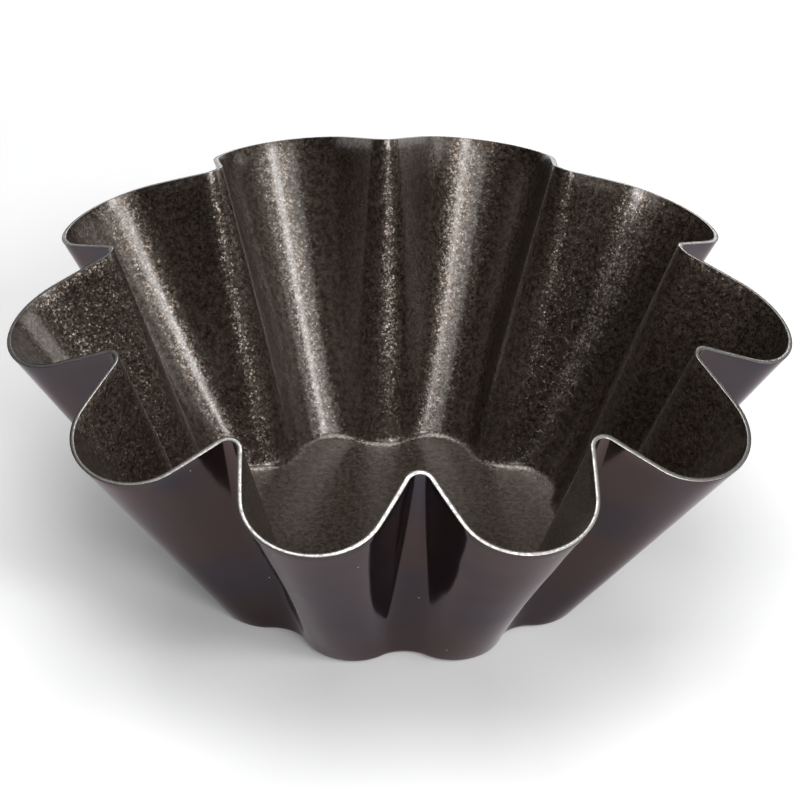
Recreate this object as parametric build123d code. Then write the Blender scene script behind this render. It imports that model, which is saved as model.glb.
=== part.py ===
from build123d import *
from math import atan, atan2, cos, hypot, radians, sin
import os

# Fluted brioche mould, pressed in one piece from a round blank of coated sheet steel.
# Millimetres. Z points up, and the origin is the centre of the flat base, on the table.
# Each flute is a round lobe between two folds: seen from above, a lobe arc, a straight
# flank, a tight fold arc that turns the other way, and a straight flank again.

# The sheet and its two coats
steel_thickness = 0.5
inner_coat_thickness = 0.06
outer_coat_thickness = 0.05

# The rim, measured on the outside of the mould
flute_count = 10
rim_lobe_radius = 50.0
rim_flute_depth = 11.2
rim_fold_radius = 1.35
rim_flank_length = 8.0
rim_lobe_height = 32.2
rim_fold_rise = 6.0

# The base, measured on the outside where floor and wall would meet in a sharp corner
base_lobe_radius = 26.2
base_flute_depth = 2.7
base_fold_radius = 4.5
base_flank_length = 0.6
base_corner_radius = 2.0

# How far the untrimmed wall stands above the highest point of the rim
trim_allowance = 2.0

# The outlines that the wall is lofted through, from floor to top
wall_outline_count = 5

half_pitch = radians(180 / flute_count)
rim_fold_height = rim_lobe_height + rim_fold_rise
untrimmed_height = rim_fold_height + trim_allowance

# Horizontal over square thickness of the wall, at its mean lean between lobes and folds
lobe_lean = (rim_lobe_radius - base_lobe_radius) / rim_lobe_height
fold_lean = (rim_lobe_radius - rim_flute_depth - base_lobe_radius + base_flute_depth) / rim_fold_height
slant_factor = hypot(1, (lobe_lean + fold_lean) / 2)

# The steel lies between the two coats, so the depth below the outside counts up inwards
steel_depth = outer_coat_thickness
inner_coat_depth = steel_depth + steel_thickness
food_depth = inner_coat_depth + inner_coat_thickness


def between(at_base, at_rim, height, rim_height):
    """A size of the wall that grows evenly from the base to the rim."""
    return at_base + (at_rim - at_base) * height / rim_height


def wall_sizes(height):
    """Lobe radius, fold distance, fold radius and flank length of the outside at a height."""
    lobe = between(base_lobe_radius, rim_lobe_radius, height, rim_lobe_height)
    base_fold = base_lobe_radius - base_flute_depth
    rim_fold = rim_lobe_radius - rim_flute_depth
    fold = between(base_fold, rim_fold, height, rim_fold_height)
    fold_radius = between(base_fold_radius, rim_fold_radius, height, rim_fold_height)
    flank = between(base_flank_length, rim_flank_length, height, rim_fold_height)
    return lobe, fold, fold_radius, flank


def polar(radius, angle):
    return Vector(radius * cos(angle), radius * sin(angle))


def fluted_outline(height, inset):
    """The closed wire of lobes, flanks and folds at a height, moved inwards by an inset."""
    lobe, fold, fold_radius, flank = wall_sizes(height)
    fold_centre = polar(fold + fold_radius, half_pitch)
    flank_angle = 2 * atan((lobe + fold_radius - fold_centre.X) / (fold_centre.Y + flank))
    both_radii = (fold_centre.Y - flank * cos(flank_angle)) / sin(flank_angle)
    lobe_centre = lobe - both_radii + fold_radius
    lobe_arc = both_radii - fold_radius - inset
    fold_arc = fold_radius + inset
    lobe_end = Vector(lobe_centre, 0) + polar(lobe_arc, flank_angle)
    fold_start = fold_centre - polar(fold_arc, flank_angle)
    fold_middle = polar(fold - inset, half_pitch)

    def turned(point, flute, mirrored=False):
        side = -1 if mirrored else 1
        angle = side * atan2(point.Y, point.X) + 2 * half_pitch * flute
        place = polar(hypot(point.X, point.Y), angle)
        return Vector(place.X, place.Y, height)

    edges = []
    for flute in range(flute_count):
        crest = turned(Vector(lobe_centre + lobe_arc, 0), flute)
        lobe_from = turned(lobe_end, flute, mirrored=True)
        lobe_to = turned(lobe_end, flute)
        fold_from = turned(fold_start, flute)
        fold_to = turned(fold_start, flute + 1, mirrored=True)
        next_lobe = turned(lobe_end, flute + 1, mirrored=True)
        edges.append(Edge.make_three_point_arc(lobe_from, crest, lobe_to))
        edges.append(Edge.make_line(lobe_to, fold_from))
        edges.append(Edge.make_three_point_arc(fold_from, turned(fold_middle, flute), fold_to))
        edges.append(Edge.make_line(fold_to, next_lobe))
    return Wire(edges)


def plug(depth):
    """The solid that would fill the mould out to the surface at a depth below its outside."""
    step = (untrimmed_height - depth) / (wall_outline_count - 1)
    heights = [depth + step * index for index in range(wall_outline_count)]
    body = Solid.make_loft([fluted_outline(height, depth * slant_factor) for height in heights])
    floor_edges = body.faces().sort_by(Axis.Z)[0].edges()
    return body.fillet(base_corner_radius - depth, floor_edges)


def trim_cone():
    """What the trimming cut leaves. The blank was round, so the folds end higher than the lobes."""
    cut_slope = rim_fold_rise / rim_flute_depth
    height = rim_lobe_height + rim_lobe_radius * cut_slope
    return Solid.make_cone(height / cut_slope, 0, height)


def layer(outer_depth, inner_depth):
    """One layer of the mould, trimmed at the rim."""
    return (plug(outer_depth) - plug(inner_depth)) & trim_cone()


parts = {
    "outer_lacquer_coat": layer(0, steel_depth),
    "steel_shell": layer(steel_depth, inner_coat_depth),
    "inner_nonstick_coat": layer(inner_coat_depth, food_depth),
}

os.makedirs("parts", exist_ok=True)
for name, part in parts.items():
    export_step(part, f"parts/{name}.step")
    box = part.bounding_box()
    print(name, "volume", round(part.volume, 1), "size", box.size)
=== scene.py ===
# %% [markdown]
# # A fluted brioche mould
# The real object is a single pressing: a round blank of coated sheet steel, drawn into ten
# flutes. It has one bright line, the bare steel at the cut rim. Everything else is finish: a
# speckled non-stick coat inside and a smooth baked lacquer outside. This lesson starts from the
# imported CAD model, makes the three layers again as finer meshes, and then spends its effort on
# the two coats and on the light.

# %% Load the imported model
import bpy
from math import cos, hypot, pi, radians, sin
from mathutils import Matrix, Vector


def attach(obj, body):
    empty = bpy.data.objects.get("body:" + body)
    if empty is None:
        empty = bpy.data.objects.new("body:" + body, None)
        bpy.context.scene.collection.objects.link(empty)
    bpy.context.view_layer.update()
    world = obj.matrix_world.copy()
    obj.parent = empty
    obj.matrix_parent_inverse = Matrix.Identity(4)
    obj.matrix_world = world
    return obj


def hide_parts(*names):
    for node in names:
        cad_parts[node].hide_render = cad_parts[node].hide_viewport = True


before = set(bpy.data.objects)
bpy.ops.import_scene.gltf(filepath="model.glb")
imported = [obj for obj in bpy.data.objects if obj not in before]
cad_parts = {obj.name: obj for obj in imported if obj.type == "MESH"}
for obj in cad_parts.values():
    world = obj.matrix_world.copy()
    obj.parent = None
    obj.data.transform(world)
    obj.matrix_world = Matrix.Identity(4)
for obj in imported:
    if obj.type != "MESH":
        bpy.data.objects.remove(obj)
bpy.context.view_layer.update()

# %% [markdown]
# ## Node trees as sums
# A node tree with two hundred Math nodes can't be read, but a sum can. So a socket is wrapped in
# a small class whose operators add the Math nodes. Every other node comes from one method, which
# takes the node's type, its settings and its inputs. All trees below, for shapes and for
# finishes, are written with these two.

# %% A socket that arithmetic works on
class Value:
    """One output socket of a tree. Each operator adds a Math node and gives its output."""

    def __init__(self, tree, socket):
        self.tree = tree
        self.socket = socket

    def other(self, name):
        """Another output of the same node."""
        return Value(self.tree, self.socket.node.outputs[name])

    def __add__(self, other):
        return self.tree.math("ADD", self, other)

    def __sub__(self, other):
        return self.tree.math("SUBTRACT", self, other)

    def __rsub__(self, other):
        return self.tree.math("SUBTRACT", other, self)

    def __mul__(self, other):
        return self.tree.math("MULTIPLY", self, other)

    def __truediv__(self, other):
        return self.tree.math("DIVIDE", self, other)

    def __rtruediv__(self, other):
        return self.tree.math("DIVIDE", other, self)

    __radd__ = __add__
    __rmul__ = __mul__


# %% A tree that nodes are added to
class Tree:
    """A node tree, with one way to add a node and one way to add a Math node."""

    def __init__(self, tree):
        self.nodes = tree.nodes
        self.links = tree.links

    def feed(self, node, inputs):
        """Give a node's sockets their links or their plain values."""
        for name, value in inputs.items():
            if isinstance(value, Value):
                self.links.new(value.socket, node.inputs[name])
            else:
                node.inputs[name].default_value = value

    def add(self, kind, settings=None, inputs=None, output=0):
        node = self.nodes.new(kind)
        for name, value in (settings or {}).items():
            setattr(node, name, value)
        self.feed(node, inputs or {})
        return Value(self, node.outputs[output]) if len(node.outputs) else node

    def math(self, operation, *values, clamp=False):
        settings = {"operation": operation, "use_clamp": clamp}
        return self.add("ShaderNodeMath", settings, dict(enumerate(values)))


# %% [markdown]
# ## The line of one flute
# Seen from above, half a flute is three simple strokes: an arc round the lobe, a straight flank
# and an arc round the fold that turns the other way. The press makes each of them grow evenly
# from the base to the rim, so any level of the wall follows from ten sizes. That is a rule, and
# Geometry Nodes can work it out for every point at once. The group below answers one question:
# where is the point that is so far along each stroke, at this height, this far inside the wall?

# %% The sizes of the mould, in millimetres
MOULD = {
    "Rim lobe radius": 50.0,
    "Rim flute depth": 11.2,
    "Rim fold radius": 1.35,
    "Rim flank length": 8.0,
    "Rim lobe height": 32.2,
    "Rim fold rise": 6.0,
    "Base lobe radius": 26.2,
    "Base flute depth": 2.7,
    "Base fold radius": 4.5,
    "Base flank length": 0.6,
}
CORNER_RADIUS = 2.0
FLUTES = 10
HALF_PITCH = pi / FLUTES
METRES = 0.001
print("sizes of the mould:", len(MOULD), "and", FLUTES, "flutes")


# %% Start a geometry tree
def new_geometry_tree(name, inputs, outputs):
    """An empty tree with named sockets, and a Value for each of its inputs."""
    group = bpy.data.node_groups.new(name, "GeometryNodeTree")
    for direction, sockets in (("INPUT", inputs), ("OUTPUT", outputs)):
        for label, kind in sockets.items():
            group.interface.new_socket(label, in_out=direction, socket_type="NodeSocket" + kind)
    t = Tree(group)
    start = group.nodes.new("NodeGroupInput")
    at = {socket.name: Value(t, socket) for socket in start.outputs if socket.name}
    return group, t, at


# %% The sizes of a flute at one height
def grown_sizes(at):
    """Lobe radius, fold distance, fold radius and flank length at the input height."""
    fold_height = at["Rim lobe height"] + at["Rim fold rise"]

    def grown(base, rim, rim_height):
        return base + (rim - base) * (at["Height"] / rim_height)

    lobe = grown(at["Base lobe radius"], at["Rim lobe radius"], at["Rim lobe height"])
    fold = grown(at["Base lobe radius"] - at["Base flute depth"],
                 at["Rim lobe radius"] - at["Rim flute depth"], fold_height)
    bend = grown(at["Base fold radius"], at["Rim fold radius"], fold_height)
    flank = grown(at["Base flank length"], at["Rim flank length"], fold_height)
    return lobe, fold, bend, flank


# %% Build the outline group
def build_outline_group():
    strokes = {"Height": "Float", "Inset": "Float", "Lobe share": "Float",
               "Flank share": "Float", "Fold share": "Float"}
    group, t, at = new_geometry_tree(
        "flute_outline", {**strokes, **{name: "Float" for name in MOULD}},
        {"X": "Float", "Y": "Float", "Facing": "Float"})
    lobe, fold, bend, flank = grown_sizes(at)
    centre_x = (fold + bend) * cos(HALF_PITCH)
    centre_y = (fold + bend) * sin(HALF_PITCH)
    turn = 2 * t.math("ARCTANGENT", (lobe + bend - centre_x) / (centre_y + flank))
    turn_cos = t.math("COSINE", turn)
    turn_sin = t.math("SINE", turn)
    both_radii = (centre_y - flank * turn_cos) / turn_sin
    facing = turn * at["Lobe share"] - (turn - HALF_PITCH) * at["Fold share"]
    facing_cos = t.math("COSINE", facing)
    facing_sin = t.math("SINE", facing)
    lobe_arc = both_radii - bend - at["Inset"]
    fold_arc = bend + at["Inset"]
    walked = flank * at["Flank share"]
    outer_x = lobe - both_radii + bend + lobe_arc * facing_cos - walked * turn_sin
    outer_y = lobe_arc * facing_sin + walked * turn_cos
    on_fold = t.math("GREATER_THAN", at["Fold share"], 0.0)
    x = outer_x + (centre_x - fold_arc * facing_cos - outer_x) * on_fold
    y = outer_y + (centre_y - fold_arc * facing_sin - outer_y) * on_fold
    t.add("NodeGroupOutput", None, {"X": x, "Y": y, "Facing": facing})
    return group


outline_group = build_outline_group()
print("outline group:", len(outline_group.nodes), "nodes")

# %% [markdown]
# ## One layer of the pressing
# Each layer is a closed thin shell: steel with a coat on either side, like a sandwich. It could
# be cut with booleans, but a sheet of points bent to shape gives even faces and clean shading.
# So the tree starts from a flat grid. A column of the grid becomes a line up the wall, and a row
# becomes a ring: from the middle of the underside out, round the corner, up the wall, over the
# cut edge, and back down inside to the middle of the floor.

# %% How many rows and columns each stroke gets
LOBE_STEPS, FLANK_STEPS, FOLD_STEPS = 12, 5, 9
EDGE_ROWS, WALL_ROWS, CORNER_ROWS, FLOOR_ROWS = 4, 22, 7, 5
HALF_FLUTE = LOBE_STEPS + FLANK_STEPS + FOLD_STEPS
COLUMNS = FLUTES * 2 * HALF_FLUTE
HALF_ROWS = EDGE_ROWS + WALL_ROWS + CORNER_ROWS + FLOOR_ROWS
print("grid:", COLUMNS, "columns and", 2 * HALF_ROWS, "rows")


def share(t, count, before, steps):
    """How far a count has come through some steps, 0 to 1, with others before them."""
    return t.math("DIVIDE", count - before, steps, clamp=True)


# %% A flat grid, and the whole number of each column and row
def flat_grid(t):
    grid = t.add("GeometryNodeMeshGrid", None, {
        "Size X": COLUMNS, "Size Y": 2 * HALF_ROWS,
        "Vertices X": COLUMNS + 1, "Vertices Y": 2 * HALF_ROWS + 1})
    place = t.add("ShaderNodeSeparateXYZ", None, {
        "Vector": t.add("GeometryNodeInputPosition")})
    column = t.math("ROUND", place + COLUMNS / 2)
    row = t.math("ROUND", place.other("Y"))
    return grid, column, row


# %% What a column is: a flute, a side of its crest, and a place on its strokes
def read_column(t, column):
    flute = t.math("FLOOR", column / (2 * HALF_FLUTE))
    from_crest = column - flute * (2 * HALF_FLUTE) - HALF_FLUTE
    side = t.math("SIGN", from_crest)
    step = t.math("ABSOLUTE", from_crest)
    strokes = {
        "Lobe share": share(t, step, 0, LOBE_STEPS),
        "Flank share": share(t, step, LOBE_STEPS, FLANK_STEPS),
        "Fold share": share(t, step, LOBE_STEPS + FLANK_STEPS, FOLD_STEPS),
    }
    return flute, side, strokes


# %% What a row is: a turn over the cut edge, a depth, and a place on wall, corner and floor
def read_row(t, row, at):
    ring = t.math("ABSOLUTE", row)
    over_edge = t.math("MINIMUM", t.math("MAXIMUM", row / EDGE_ROWS, -1.0), 1.0) * (pi / 2)
    layer_share = 0.5 + t.math("SINE", over_edge) * 0.5
    depth = at["Outer depth"] + (at["Inner depth"] - at["Outer depth"]) * layer_share
    down_wall = share(t, ring, EDGE_ROWS, WALL_ROWS)
    round_corner = share(t, ring, EDGE_ROWS + WALL_ROWS, CORNER_ROWS)
    to_middle = share(t, ring, EDGE_ROWS + WALL_ROWS + CORNER_ROWS, FLOOR_ROWS)
    return over_edge, depth, down_wall, round_corner, to_middle


# %% [markdown]
# ## The two ends of the wall
# At the bottom the wall leans out of the floor through a round corner. The lean differs between
# lobe and fold, so it is measured: two outlines, one a little above the other. At the top the
# trimming cut is a flat cone. The wall leans, so how high the cut is and how far out the wall
# stands there depend on each other, and a few rounds of guess and correct settle both.

# %% The round corner between floor and wall
BASE_PROBE = 4.0


def round_corner_path(t, outline, corner, inset, round_corner):
    """How far a row has risen and moved in on the corner, and how high the corner is."""
    low_x, low_y, facing = outline(0.0, inset)
    high_x, high_y, _ = outline(BASE_PROBE, inset)
    lean = ((high_x - low_x) * t.math("COSINE", facing)
            + (high_y - low_y) * t.math("SINE", facing)) / BASE_PROBE
    corner_turn = pi / 2 - t.math("ARCTANGENT", lean)
    tangent = corner * t.math("TANGENT", corner_turn / 2)
    turned = corner_turn * (1 - round_corner)
    rise = corner * (1 - t.math("COSINE", turned))
    moved_in = lean * rise + tangent - corner * t.math("SINE", turned)
    full_rise = corner * (1 - t.math("COSINE", corner_turn))
    return rise, moved_in, full_rise


# %% The height of the trimming cut
FIRST_STEP, NEXT_STEPS = 0.8, 0.72
ROUNDS = 4


def cut_height(t, outline, inset, at):
    lobe_height = at["Rim lobe height"]
    slope = at["Rim fold rise"] / at["Rim flute depth"]

    def cone_over_lobe(height):
        x, y, _ = outline(height, inset)
        return slope * (at["Rim lobe radius"] - t.math("SQRT", x * x + y * y))

    rim = lobe_height + cone_over_lobe(lobe_height) * FIRST_STEP
    for _ in range(ROUNDS):
        rim = rim + (lobe_height + cone_over_lobe(rim) - rim) * NEXT_STEPS
    return rim


# %% Build the layer tree
MERGE_DISTANCE = 1e-6


def close_shell(t, grid, bent, finish):
    """Move the grid's points, merge the doubles along the seam and at both middles."""
    shell = t.add("GeometryNodeSetPosition", None, {"Geometry": grid, "Position": bent})
    shell = t.add("GeometryNodeMergeByDistance", None,
                  {"Geometry": shell, "Distance": MERGE_DISTANCE})
    shell = t.add("GeometryNodeSetShadeSmooth", None, {"Geometry": shell})
    shell = t.add("GeometryNodeRealizeInstances", None, {"Geometry": shell})
    return t.add("GeometryNodeSetMaterial", None, {"Geometry": shell, "Material": finish})


def build_layer_tree():
    own = {"Outer depth": "Float", "Inner depth": "Float", "Slant factor": "Float",
           "Corner radius": "Float", "Edge round": "Float", "Finish": "Material"}
    group, t, at = new_geometry_tree(
        "pressed_layer", {**{name: "Float" for name in MOULD}, **own}, {"Mesh": "Geometry"})
    grid, column, row = flat_grid(t)
    flute, side, strokes = read_column(t, column)
    over_edge, depth, down_wall, round_corner, to_middle = read_row(t, row, at)
    inset = depth * at["Slant factor"]

    def outline(height, inset):
        inputs = {**strokes, **{name: at[name] for name in MOULD},
                  "Height": height, "Inset": inset}
        x = t.add("GeometryNodeGroup", {"node_tree": outline_group}, inputs)
        return x, x.other("Y"), x.other("Facing")

    corner = at["Corner radius"] - depth
    corner_rise, corner_inset, full_corner = round_corner_path(
        t, outline, corner, inset, round_corner)
    drop = at["Edge round"] * (1 - t.math("COSINE", over_edge))
    rim = cut_height(t, outline, inset, at)
    wall_rise = (rim - drop - depth - full_corner) * (1 - down_wall)
    height = depth + corner_rise + wall_rise

    x, y, _ = outline(height, inset + corner_inset)
    y = y * side
    angle = flute * (2 * HALF_PITCH)
    turn_cos = t.math("COSINE", angle)
    turn_sin = t.math("SINE", angle)
    scale = (1 - to_middle) * METRES
    bent = t.add("ShaderNodeCombineXYZ", None, {
        "X": (x * turn_cos - y * turn_sin) * scale,
        "Y": (x * turn_sin + y * turn_cos) * scale,
        "Z": height * METRES,
    })
    t.add("NodeGroupOutput", None, {"Mesh": close_shell(t, grid, bent, at["Finish"])})
    return group


layer_tree = build_layer_tree()
print("layer tree:", len(layer_tree.nodes), "nodes")

# %% [markdown]
# ## Helpers for the finishes
# The photo shows no picture or print on the mould, only grain of several sizes: flakes, peel,
# slow clouds of colour. So three helpers are enough: a noise that is asked for by the width of
# its grains in metres, a soft step that cuts it into patches, and a blend of two colours. All of
# it is laid out on Object coordinates, which stay put in the piece from every side.

# %% Start a finish, and the three helpers
MIX_SHARE, MIX_FIRST, MIX_SECOND, MIX_COLOUR = 0, 6, 7, 2


def new_finish(name):
    material = bpy.data.materials.new(name)
    material.use_nodes = True
    shader = material.node_tree.nodes["Principled BSDF"]
    return material, Tree(material.node_tree), shader


def grain(t, size, detail=2.0, roughness=0.5, move=0.0):
    """Noise from 0 to 1 whose grains are about so many metres wide."""
    here = t.add("ShaderNodeTexCoord", output="Object")
    moved = t.add("ShaderNodeVectorMath", {"operation": "ADD"}, {0: here, 1: (move,) * 3})
    return t.add("ShaderNodeTexNoise", None, {
        "Vector": moved, "Scale": 1 / size, "Detail": detail, "Roughness": roughness})


def ramp(t, value, low, high):
    """0 below low, 1 above high, and smooth between them."""
    return t.add("ShaderNodeMapRange", {"interpolation_type": "SMOOTHSTEP"}, {
        "Value": value, "From Min": low, "From Max": high})


def blend_colour(t, share, first, second):
    """The first colour where the share is 0, and the second where it is 1."""
    first, second = (colour if isinstance(colour, Value) else (*colour, 1.0)
                     for colour in (first, second))
    return t.add("ShaderNodeMix", {"data_type": "RGBA"},
                 {MIX_SHARE: share, MIX_FIRST: first, MIX_SECOND: second}, output=MIX_COLOUR)


print("helpers: new_finish, grain, ramp, blend_colour")

# %% [markdown]
# ## The non-stick coat
# The coat inside is a dark brown binder with fine metal flakes in it, baked on with an
# orange-peel skin. Three things happen in it at once. The clear skin on top gives each lobe a
# narrow clean streak of light. The flakes below lie at all angles and sparkle in a wide band
# round that streak. The binder itself only shows as a warm near-black. So the flakes are tilted
# cells under a clear coat of the shader, which keeps the smooth normal of the sheet.

# %% Sizes in metres, shares and colours of the non-stick coat
FLAKE_SIZE = 0.00022
FLAKE_TILT = 0.3
LEAST_METAL = 0.38
MOTTLE_SIZE = 0.0007
CLOUD_SIZE = 0.009
CLOUD_SHARE = 0.35
PEEL_SIZE = 0.0005
PEEL_DEPTH = 0.00006
SKIN_PATCH_SIZE = 0.0004
THINNEST_SKIN = 0.6
BROWN_BINDER = (0.024, 0.0075, 0.0034), (0.037, 0.0132, 0.0066)
BURNT_BINDER = (0.0105, 0.009, 0.0056)
FLAKE_METAL = (0.070, 0.051, 0.037), (0.138, 0.118, 0.097)
print("a flake is", FLAKE_SIZE * 1000, "mm wide")


# %% Colour and lean of the flakes
def coat_colour(t, mottle, flake):
    """Binder that is browner or blacker in patches, with the flakes' metal in it."""
    binder = blend_colour(t, ramp(t, mottle, 0.35, 0.65), *BROWN_BINDER)
    cloud = ramp(t, grain(t, CLOUD_SIZE, move=3.0), 0.35, 0.7) * CLOUD_SHARE
    binder = blend_colour(t, cloud, binder, BURNT_BINDER)
    metal = blend_colour(t, ramp(t, mottle, 0.4, 0.6), *FLAKE_METAL)
    return blend_colour(t, flake, binder, metal)


def flake_normal(t, cells):
    """The sheet's normal, leaned its own way in each cell, under the orange peel."""
    tilt = t.add("ShaderNodeVectorMath", {"operation": "SUBTRACT"},
                 {0: cells, 1: (0.5, 0.5, 0.5)})
    tilt = t.add("ShaderNodeVectorMath", {"operation": "SCALE"}, {0: tilt, "Scale": FLAKE_TILT})
    sheet = t.add("ShaderNodeNewGeometry", output="Normal")
    leaning = t.add("ShaderNodeVectorMath", {"operation": "ADD"}, {0: sheet, 1: tilt})
    leaning = t.add("ShaderNodeVectorMath", {"operation": "NORMALIZE"}, {0: leaning})
    return t.add("ShaderNodeBump", None, {
        "Height": grain(t, PEEL_SIZE), "Distance": PEEL_DEPTH, "Strength": 0.7,
        "Normal": leaning})


# %% Non-stick coat
def nonstick_coat():
    material, t, shader = new_finish("nonstick_coat")
    here = t.add("ShaderNodeTexCoord", output="Object")
    cells = t.add("ShaderNodeTexVoronoi", None, {"Vector": here, "Scale": 1 / FLAKE_SIZE},
                  output="Color")
    luck = t.add("ShaderNodeTexWhiteNoise", None, {"Vector": cells.other("Position")})
    flake = LEAST_METAL + ramp(t, luck, 0.05, 1.0) * (1 - LEAST_METAL)
    mottle = grain(t, MOTTLE_SIZE, detail=3.0, roughness=0.65)
    skin_patch = ramp(t, grain(t, SKIN_PATCH_SIZE, move=7.0), 0.35, 0.65)
    t.feed(shader, {
        "Base Color": coat_colour(t, mottle, flake),
        "Metallic": flake,
        "Roughness": 0.28 + mottle * 0.06,
        "Normal": flake_normal(t, cells),
        "Coat Weight": THINNEST_SKIN + skin_patch * (1 - THINNEST_SKIN),
        "Coat Roughness": 0.2,
        "Coat IOR": 1.5,
    })
    print("non-stick coat:", len(t.nodes), "nodes")
    return material


# %% [markdown]
# ## The outer lacquer
# Outside there is a smooth baked lacquer with a fine metallic pigment, dark brown with a little
# purple in it. It shows what stands round it: the pale floor under the flare, and its own next
# flute as a dark patch with a clean edge. A plain gloss would turn white where the wall is seen
# at a low angle, and the photo doesn't. So the lacquer is a dark metal whose edge tint holds
# that back, with a very slow wave in the sheet that makes the edges waver, and a few grains of
# dust.

# %% Sizes in metres and colours of the lacquer
LACQUER_CLOUD_SIZE = 0.02
LACQUER_COLOURS = (0.056, 0.051, 0.060), (0.078, 0.056, 0.053)
EDGE_TINT = (0.76, 0.715, 0.73, 1)
SMEAR_SIZE = 0.012
WAVE_SIZE, WAVE_DEPTH = 0.011, 0.0004
RIPPLE_SIZE, RIPPLE_SHARE = 0.0016, 0.012
DUST_SPACING = 0.0024
DUST_REACH = 0.045
DUSTLESS_SHARE = 0.55
DUST_COLOUR = (0.45, 0.43, 0.41)
print("one possible grain of dust every", DUST_SPACING * 1000, "mm")


# %% Outer lacquer
def dust_grains(t):
    """1 on a small dot in some of the cells, and 0 elsewhere."""
    here = t.add("ShaderNodeTexCoord", output="Object")
    dots = t.add("ShaderNodeTexVoronoi", None, {"Vector": here, "Scale": 1 / DUST_SPACING})
    luck = t.add("ShaderNodeSeparateColor", None, {"Color": dots.other("Color")},
                 output="Green")
    return (t.math("LESS_THAN", dots, DUST_REACH)
            * t.math("GREATER_THAN", luck, DUSTLESS_SHARE))


def outer_lacquer():
    material, t, shader = new_finish("outer_lacquer")
    cloud = ramp(t, grain(t, LACQUER_CLOUD_SIZE, move=1.0), 0.35, 0.65)
    dust = dust_grains(t)
    smear = ramp(t, grain(t, SMEAR_SIZE, move=5.0), 0.3, 0.7)
    wave = grain(t, WAVE_SIZE, detail=1.0, move=2.0) + grain(t, RIPPLE_SIZE) * RIPPLE_SHARE
    t.feed(shader, {
        "Base Color": blend_colour(t, dust, blend_colour(t, cloud, *LACQUER_COLOURS),
                                   DUST_COLOUR),
        "Roughness": 0.07 + smear * 0.05 + dust * 0.5,
        "Normal": t.add("ShaderNodeBump", None, {
            "Height": wave, "Distance": WAVE_DEPTH, "Strength": 0.35}),
        "Metallic": 1.0,
        "Specular Tint": EDGE_TINT,
    })
    print("outer lacquer:", len(t.nodes), "nodes")
    return material


# %% [markdown]
# ## The bare edge
# The trimming cut leaves the sheet bare. It is bright where the blade burnished it and grey where
# the steel tore, with a fine grain across the cut.

# %% Bare steel
TEAR_SIZE = 0.0006
CUT_GRAIN_SIZE, CUT_GRAIN_DEPTH = 0.00025, 0.00004
BURNISHED, TORN = (0.58, 0.57, 0.54), (0.40, 0.39, 0.375)


def bare_steel():
    material, t, shader = new_finish("bare_steel")
    tear = ramp(t, grain(t, TEAR_SIZE), 0.4, 0.7)
    t.feed(shader, {
        "Base Color": blend_colour(t, tear, BURNISHED, TORN),
        "Metallic": 1.0,
        "Roughness": 0.4 + tear * 0.12,
        "Normal": t.add("ShaderNodeBump", None, {
            "Height": grain(t, CUT_GRAIN_SIZE), "Distance": CUT_GRAIN_DEPTH,
            "Strength": 0.4}),
    })
    print("bare steel:", len(t.nodes), "nodes")
    return material


# %% [markdown]
# ## Press the three layers
# One tree makes all three, because only the depths below the outside, the round of the cut edge
# and the finish differ. The depths are square to the wall. The tree moves points level, so it
# also needs how much wider a leaning sheet measures when it is cut level. The result of the tree
# is kept as a plain mesh, which stands on its own.

# %% Depths and edges, in millimetres, and the slant of the wall
STEEL_DEPTH = 0.05
INNER_COAT_DEPTH = 0.55
FOOD_DEPTH = 0.61
COAT_EDGE, STEEL_EDGE = 0.02, 0.06

lobe_lean = (MOULD["Rim lobe radius"] - MOULD["Base lobe radius"]) / MOULD["Rim lobe height"]
rim_fold_reach = MOULD["Rim lobe radius"] - MOULD["Rim flute depth"]
base_fold_reach = MOULD["Base lobe radius"] - MOULD["Base flute depth"]
fold_lean = ((rim_fold_reach - base_fold_reach)
             / (MOULD["Rim lobe height"] + MOULD["Rim fold rise"]))
SLANT_FACTOR = hypot(1, (lobe_lean + fold_lean) / 2)
print("slant factor:", round(SLANT_FACTOR, 4))


# %% Run the tree and keep a plain mesh
def press_layer(name, sizes):
    maker = bpy.data.objects.new(name + "_maker", bpy.data.meshes.new(name + "_maker"))
    bpy.context.scene.collection.objects.link(maker)
    modifier = maker.modifiers.new("layer", "NODES")
    modifier.node_group = layer_tree
    for item in layer_tree.interface.items_tree:
        if item.in_out == "INPUT":
            modifier[item.identifier] = sizes[item.name]
    shown = maker.evaluated_get(bpy.context.evaluated_depsgraph_get())
    mesh = bpy.data.meshes.new_from_object(shown)
    bpy.data.objects.remove(maker)
    mesh.name = name
    piece = bpy.data.objects.new(name, mesh)
    bpy.context.scene.collection.objects.link(piece)
    return piece


# %% Make the layers
LAYERS = (
    ("lacquer_layer", "outer_lacquer_coat", "outer_lacquer", outer_lacquer(),
     0.0, STEEL_DEPTH, COAT_EDGE),
    ("steel_layer", "steel_shell", "bare_steel", bare_steel(),
     STEEL_DEPTH, INNER_COAT_DEPTH, STEEL_EDGE),
    ("nonstick_layer", "inner_nonstick_coat", "nonstick_coat", nonstick_coat(),
     INNER_COAT_DEPTH, FOOD_DEPTH, COAT_EDGE),
)
for name, node, slot, finish, outer, inner, edge_round in LAYERS:
    piece = press_layer(name, {
        **MOULD, "Outer depth": outer, "Inner depth": inner, "Slant factor": SLANT_FACTOR,
        "Corner radius": CORNER_RADIUS, "Edge round": edge_round, "Finish": finish})
    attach(piece, "root")
    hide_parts(node)
    mesh = piece.data
    reach = [round(1000 * max(point.co[axis] for point in mesh.vertices), 3)
             for axis in range(3)]
    print(name, len(mesh.vertices), "points", len(mesh.polygons), "faces, reach", reach, "mm")

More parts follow.
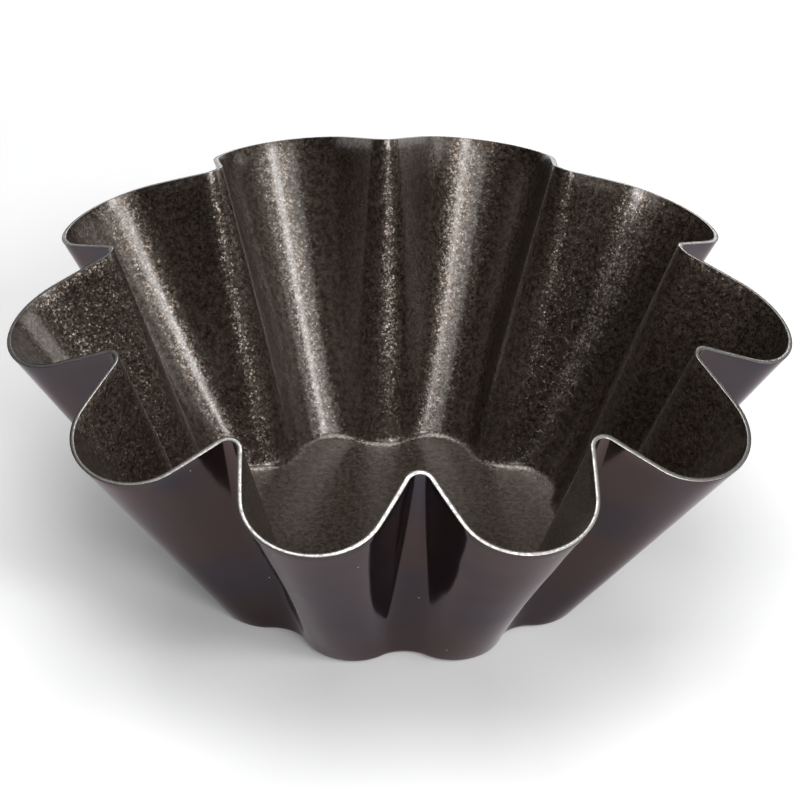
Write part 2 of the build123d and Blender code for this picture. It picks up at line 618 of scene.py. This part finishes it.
# %% [markdown]
# ## Camera
# The photo looks down on the mould at about 34 degrees, from a metre away and through a long
# lens, so near and far lobes are almost the same size. The values come from laying the model's
# rim and base over the photo. Aiming the camera at a point would lose the photo's small roll, so
# the camera is put together from its three directions, and then turned round the mould a little
# to bring the flutes to where they are in the photo.

# %% Camera: angles in radians, lengths in metres, lens and sensor in millimetres
CAMERA_RISE = 0.590
CAMERA_YAW = 0.076
CAMERA_ROLL = -0.036
CAMERA_DISTANCE = 1.0145
CAMERA_LENS = 357.4
CAMERA_SENSOR = 36.0
CLIP_NEAR, CLIP_FAR = 0.05, 50.0
aim = Vector((0.000193, 0.0, 0.02316))
back = Vector((0.0, -cos(CAMERA_RISE), sin(CAMERA_RISE)))
right = Vector((1.0, 0.0, 0.0))
up = Vector((0.0, sin(CAMERA_RISE), cos(CAMERA_RISE)))
rolled_right = right * cos(CAMERA_ROLL) - up * sin(CAMERA_ROLL)
rolled_up = right * sin(CAMERA_ROLL) + up * cos(CAMERA_ROLL)
spot = aim + back * CAMERA_DISTANCE
facing = Matrix((rolled_right, rolled_up, back)).transposed().to_4x4()
camera = bpy.data.objects.new("camera", bpy.data.cameras.new("camera"))
camera.data.sensor_width = CAMERA_SENSOR
camera.data.lens = CAMERA_LENS
camera.data.clip_start, camera.data.clip_end = CLIP_NEAR, CLIP_FAR
camera.matrix_world = Matrix.Rotation(-CAMERA_YAW, 4, "Z") @ Matrix.Translation(spot) @ facing
bpy.context.scene.collection.objects.link(camera)
bpy.context.scene.camera = camera
print("camera at", [round(length, 3) for length in camera.matrix_world.translation])

# %% [markdown]
# ## Floor
# The mould stands on a pale floor. The flared outside faces down, so the floor is also what the
# lacquer mirrors. It is large enough to end out of sight in those reflections. A faint glow of
# its own stands for the light that comes back from a white studio, and keeps the soft shadow
# pale.

# %% Floor
FLOOR_REACH = 6.0
CORNERS = (-1, -1), (1, -1), (1, 1), (-1, 1)
floor_mesh = bpy.data.meshes.new("floor")
floor_mesh.from_pydata([(x * FLOOR_REACH, y * FLOOR_REACH, 0) for x, y in CORNERS],
                       [], [(0, 1, 2, 3)])
floor = bpy.data.objects.new("floor", floor_mesh)
bpy.context.scene.collection.objects.link(floor)
floor_finish, t, shader = new_finish("pale_floor")
t.feed(shader, {
    "Base Color": (0.92, 0.92, 0.92, 1),
    "Roughness": 0.9,
    "Specular IOR Level": 0.1,
    "Emission Color": (1, 1, 1, 1),
    "Emission Strength": 0.15,
})
floor_mesh.materials.append(floor_finish)
print("floor:", 2 * FLOOR_REACH, "metres square")

# %% [markdown]
# ## Soft lights
# Each lobe is a curved mirror, so the mould itself says where the lights stood. The streaks in
# the two lobes at the back mirror a tall soft light on the right, at about 30 to 45 degrees, and
# the streak in the lobe left of them one below it. A dim spill in front makes the soft right side
# of each streak, and a dim fill and a low side light on the right the sparkle to the left of
# them. The bright line round the floor inside and the white front of the rim mirror a large light
# overhead. A low one at the back is for whoever looks at the mould from behind. The rest of the
# room is nearly dark, which keeps the coat dark. Lights are asked for by radiance, because that
# is what a mirror shows, and Blender wants power.

# %% A soft light, placed by direction
def direction(turn, rise):
    """The way to a light: degrees to the right of the mould's front, and degrees up."""
    turn, rise = radians(turn), radians(rise)
    return Vector((sin(turn) * cos(rise), -cos(turn) * cos(rise), sin(rise)))


def soft_light(name, turn, rise, width, height, radiance, distance=1.6, colour=(1, 1, 1)):
    data = bpy.data.lights.new(name, "AREA")
    data.shape = "RECTANGLE"
    data.size, data.size_y = width, height
    data.energy = radiance * width * height * pi
    data.color = colour
    light = bpy.data.objects.new(name, data)
    away = direction(turn, rise)
    light.location = away * distance
    light.rotation_euler = away.to_track_quat("Z", "Y").to_euler()
    bpy.context.scene.collection.objects.link(light)
    print(name, "light:", round(data.energy, 2), "W")


# %% Soft lights: degrees right, degrees up, width and height in metres, radiance
COOL_WHITE = (0.975, 0.985, 1.0)
soft_light("key", 31, 41.5, 0.36, 0.40, 15.5, colour=COOL_WHITE)
soft_light("low_key", 23, 23, 0.54, 0.27, 18, colour=COOL_WHITE)
soft_light("spill", 0, 40, 0.8, 0.3, 3)
soft_light("overhead", 0, 88, 1.1, 1.1, 4.2, distance=1.5)
soft_light("right_fill", 57, 30, 0.4, 0.3, 2.4)
soft_light("side", 86, 15, 0.9, 0.46, 2.6)
soft_light("back", 170, 16, 1.0, 0.4, 4)

# %% The dim room
ROOM_STRENGTH = 0.012
world = bpy.data.worlds.new("studio")
world.use_nodes = True
bpy.context.scene.world = world
room = world.node_tree.nodes["Background"]
room.inputs["Color"].default_value = (1, 1, 1, 1)
room.inputs["Strength"].default_value = ROOM_STRENGTH
bpy.context.scene.view_settings.view_transform = "Standard"
print("room strength:", ROOM_STRENGTH)
